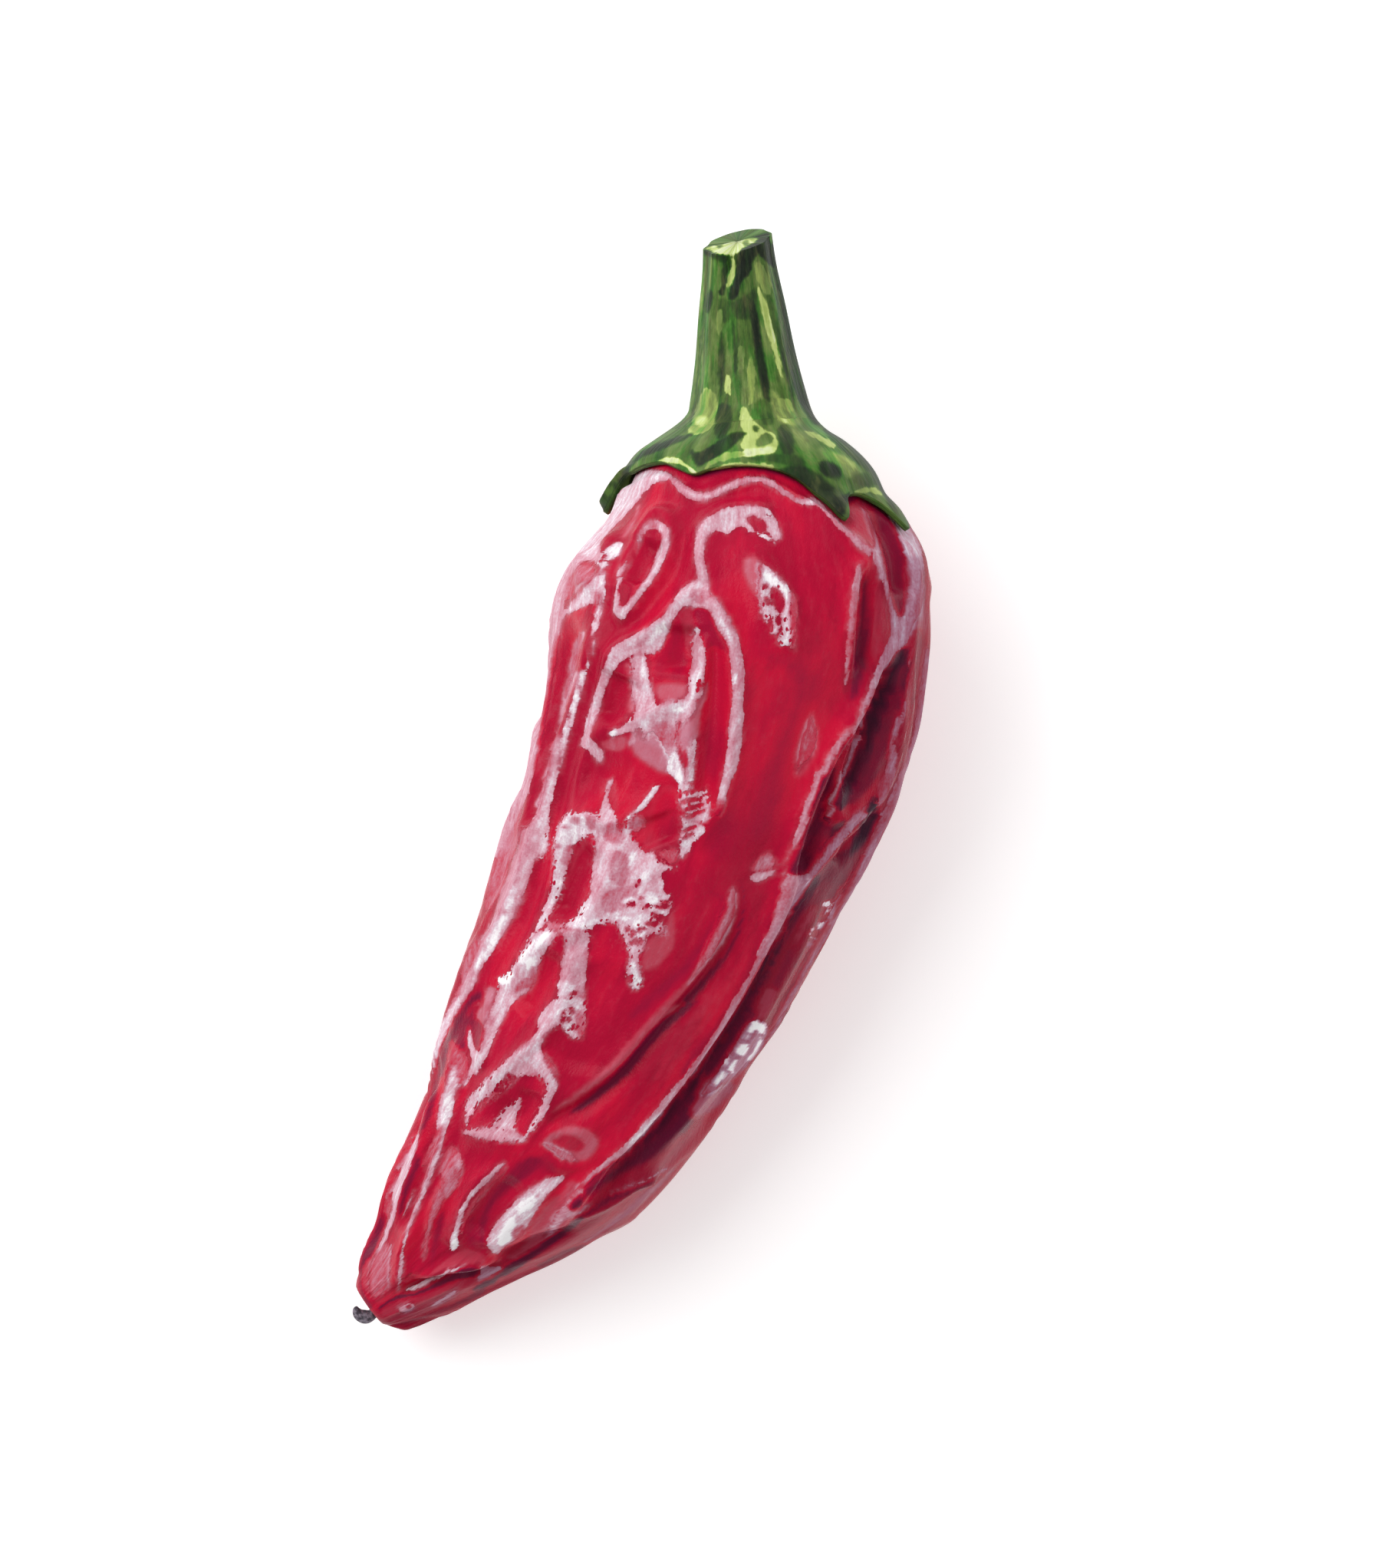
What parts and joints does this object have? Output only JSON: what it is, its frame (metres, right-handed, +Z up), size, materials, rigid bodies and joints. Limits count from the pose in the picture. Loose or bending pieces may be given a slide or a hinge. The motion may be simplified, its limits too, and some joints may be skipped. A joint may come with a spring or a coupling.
{
  "type": "chili pepper",
  "caption": "Ripe red chili pepper, wrinkled and glossy, lying on its side, with a green toothed calyx, a ribbed cut stalk and a dry style remnant at its bent tip.",
  "frame": {"origin": "centre of the small flat spot on the underside of the pod, on the surface that the pepper lies on and under its weight", "axes": "+Z up from that surface, +Y from the tip to the cut stalk along the longest extent, +X towards the side that the pod bows to"},
  "size_m": [0.0341, 0.1019, 0.0308],
  "materials": {
    "pod_skin": "glossy, waxy, wrinkled red fruit skin",
    "calyx_green": "satin, ribbed green stem tissue with a pale cut face",
    "dry_style": "dry, dark grey-violet plant tissue"
  },
  "bodies": {
    "root": {"pod": "pod_skin", "calyx_and_stalk": "calyx_green", "style_remnant": "dry_style"}
  },
  "joints": []
}
